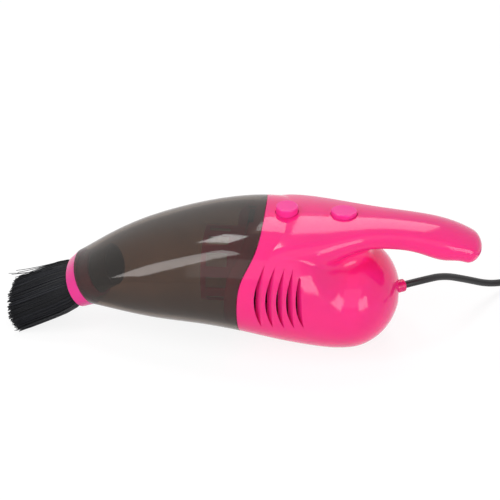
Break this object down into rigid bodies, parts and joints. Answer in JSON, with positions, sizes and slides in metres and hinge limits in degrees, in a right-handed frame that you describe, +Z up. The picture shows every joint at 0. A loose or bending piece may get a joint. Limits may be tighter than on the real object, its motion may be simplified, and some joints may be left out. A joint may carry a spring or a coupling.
{
  "type": "desktop mini vacuum cleaner",
  "caption": "Small handheld desk vacuum cleaner with a clear dust cup, slanted brush nozzle, motor bulb, tail grip, push buttons and a plug-in lead.",
  "frame": {"origin": "on the table under the middle of the vacuum cleaner's box, cord left out", "axes": "+X towards the grip's tail and the cord, -X towards the brush, +Z up, the left side towards -Y"},
  "size_m": [0.3053, 0.117, 0.0667],
  "materials": {
    "pink_gloss": "glossy moulded pink plastic",
    "smoke_clear": "smoke-tinted clear plastic",
    "black_plastic": "black moulded plastic",
    "bristle_black": "dense black nylon bristles",
    "filter_fabric": "white non-woven filter cloth",
    "ivory_plastic": "ivory moulded plastic",
    "steel": "bright steel",
    "magnet": "dark ferrite",
    "rotor_iron": "laminated iron with windings",
    "brass": "plain brass",
    "wire_red": "red insulation",
    "cord_black": "smooth black cord jacket"
  },
  "bodies": {
    "housing": {"housing_left": "pink_gloss", "housing_right": "pink_gloss", "housing_screws": "steel", "filter_seat": "pink_gloss", "inlet_duct": "black_plastic", "motor_can": "steel", "motor_end_cap": "ivory_plastic", "motor_magnets": "magnet", "motor_terminals": "brass", "motor_mount": "black_plastic", "release_spring": "steel", "power_switch": "black_plastic", "wire_red": "wire_red", "wire_black": "cord_black", "cord_gland": "pink_gloss", "cord": "cord_black", "cord_coil": "cord_black", "cord_lead": "cord_black", "usb_plug_body": "cord_black", "usb_plug_shell": "steel", "usb_plug_tongue": "ivory_plastic"},
    "cup": {"dust_cup": "smoke_clear", "nozzle_ring": "pink_gloss"},
    "brush": {"brush_base": "black_plastic", "brush_bristles": "bristle_black"},
    "filter": {"filter_frame": "pink_gloss", "filter_cloth": "filter_fabric"},
    "fan": {"fan_impeller": "ivory_plastic", "motor_shaft": "steel", "motor_rotor": "rotor_iron"},
    "release": {"release_button": "pink_gloss", "latch_hook": "black_plastic"},
    "power": {"power_button": "pink_gloss", "switch_plunger": "ivory_plastic"}
  },
  "joints": [
    {"name": "cup_slide", "type": "slide", "parent": "housing", "child": "cup", "axis": [-1, 0, 0], "range_m": [0, 0.06]},
    {"name": "brush_slide", "type": "slide", "parent": "cup", "child": "brush", "axis": [-0.848, 0, -0.5299], "range_m": [0, 0.018]},
    {"name": "filter_slide", "type": "slide", "parent": "housing", "child": "filter", "axis": [-1, 0, 0], "range_m": [0, 0.01]},
    {"name": "fan_spin", "type": "hinge", "parent": "housing", "child": "fan", "pos_m": [0.02242, 0, 0.02361], "axis": [1, 0, 0], "continuous": true},
    {"name": "release_press", "type": "slide", "parent": "housing", "child": "release", "axis": [0, 0, -1], "range_m": [0, 0.0025], "stiffness_N_per_m": 700, "springref_m": -0.0015, "deforming": ["release_spring"]},
    {"name": "power_press", "type": "slide", "parent": "housing", "child": "power", "axis": [0, 0, -1], "range_m": [0, 0.0012], "stiffness_N_per_m": 1200, "springref_m": -0.0006}
  ]
}
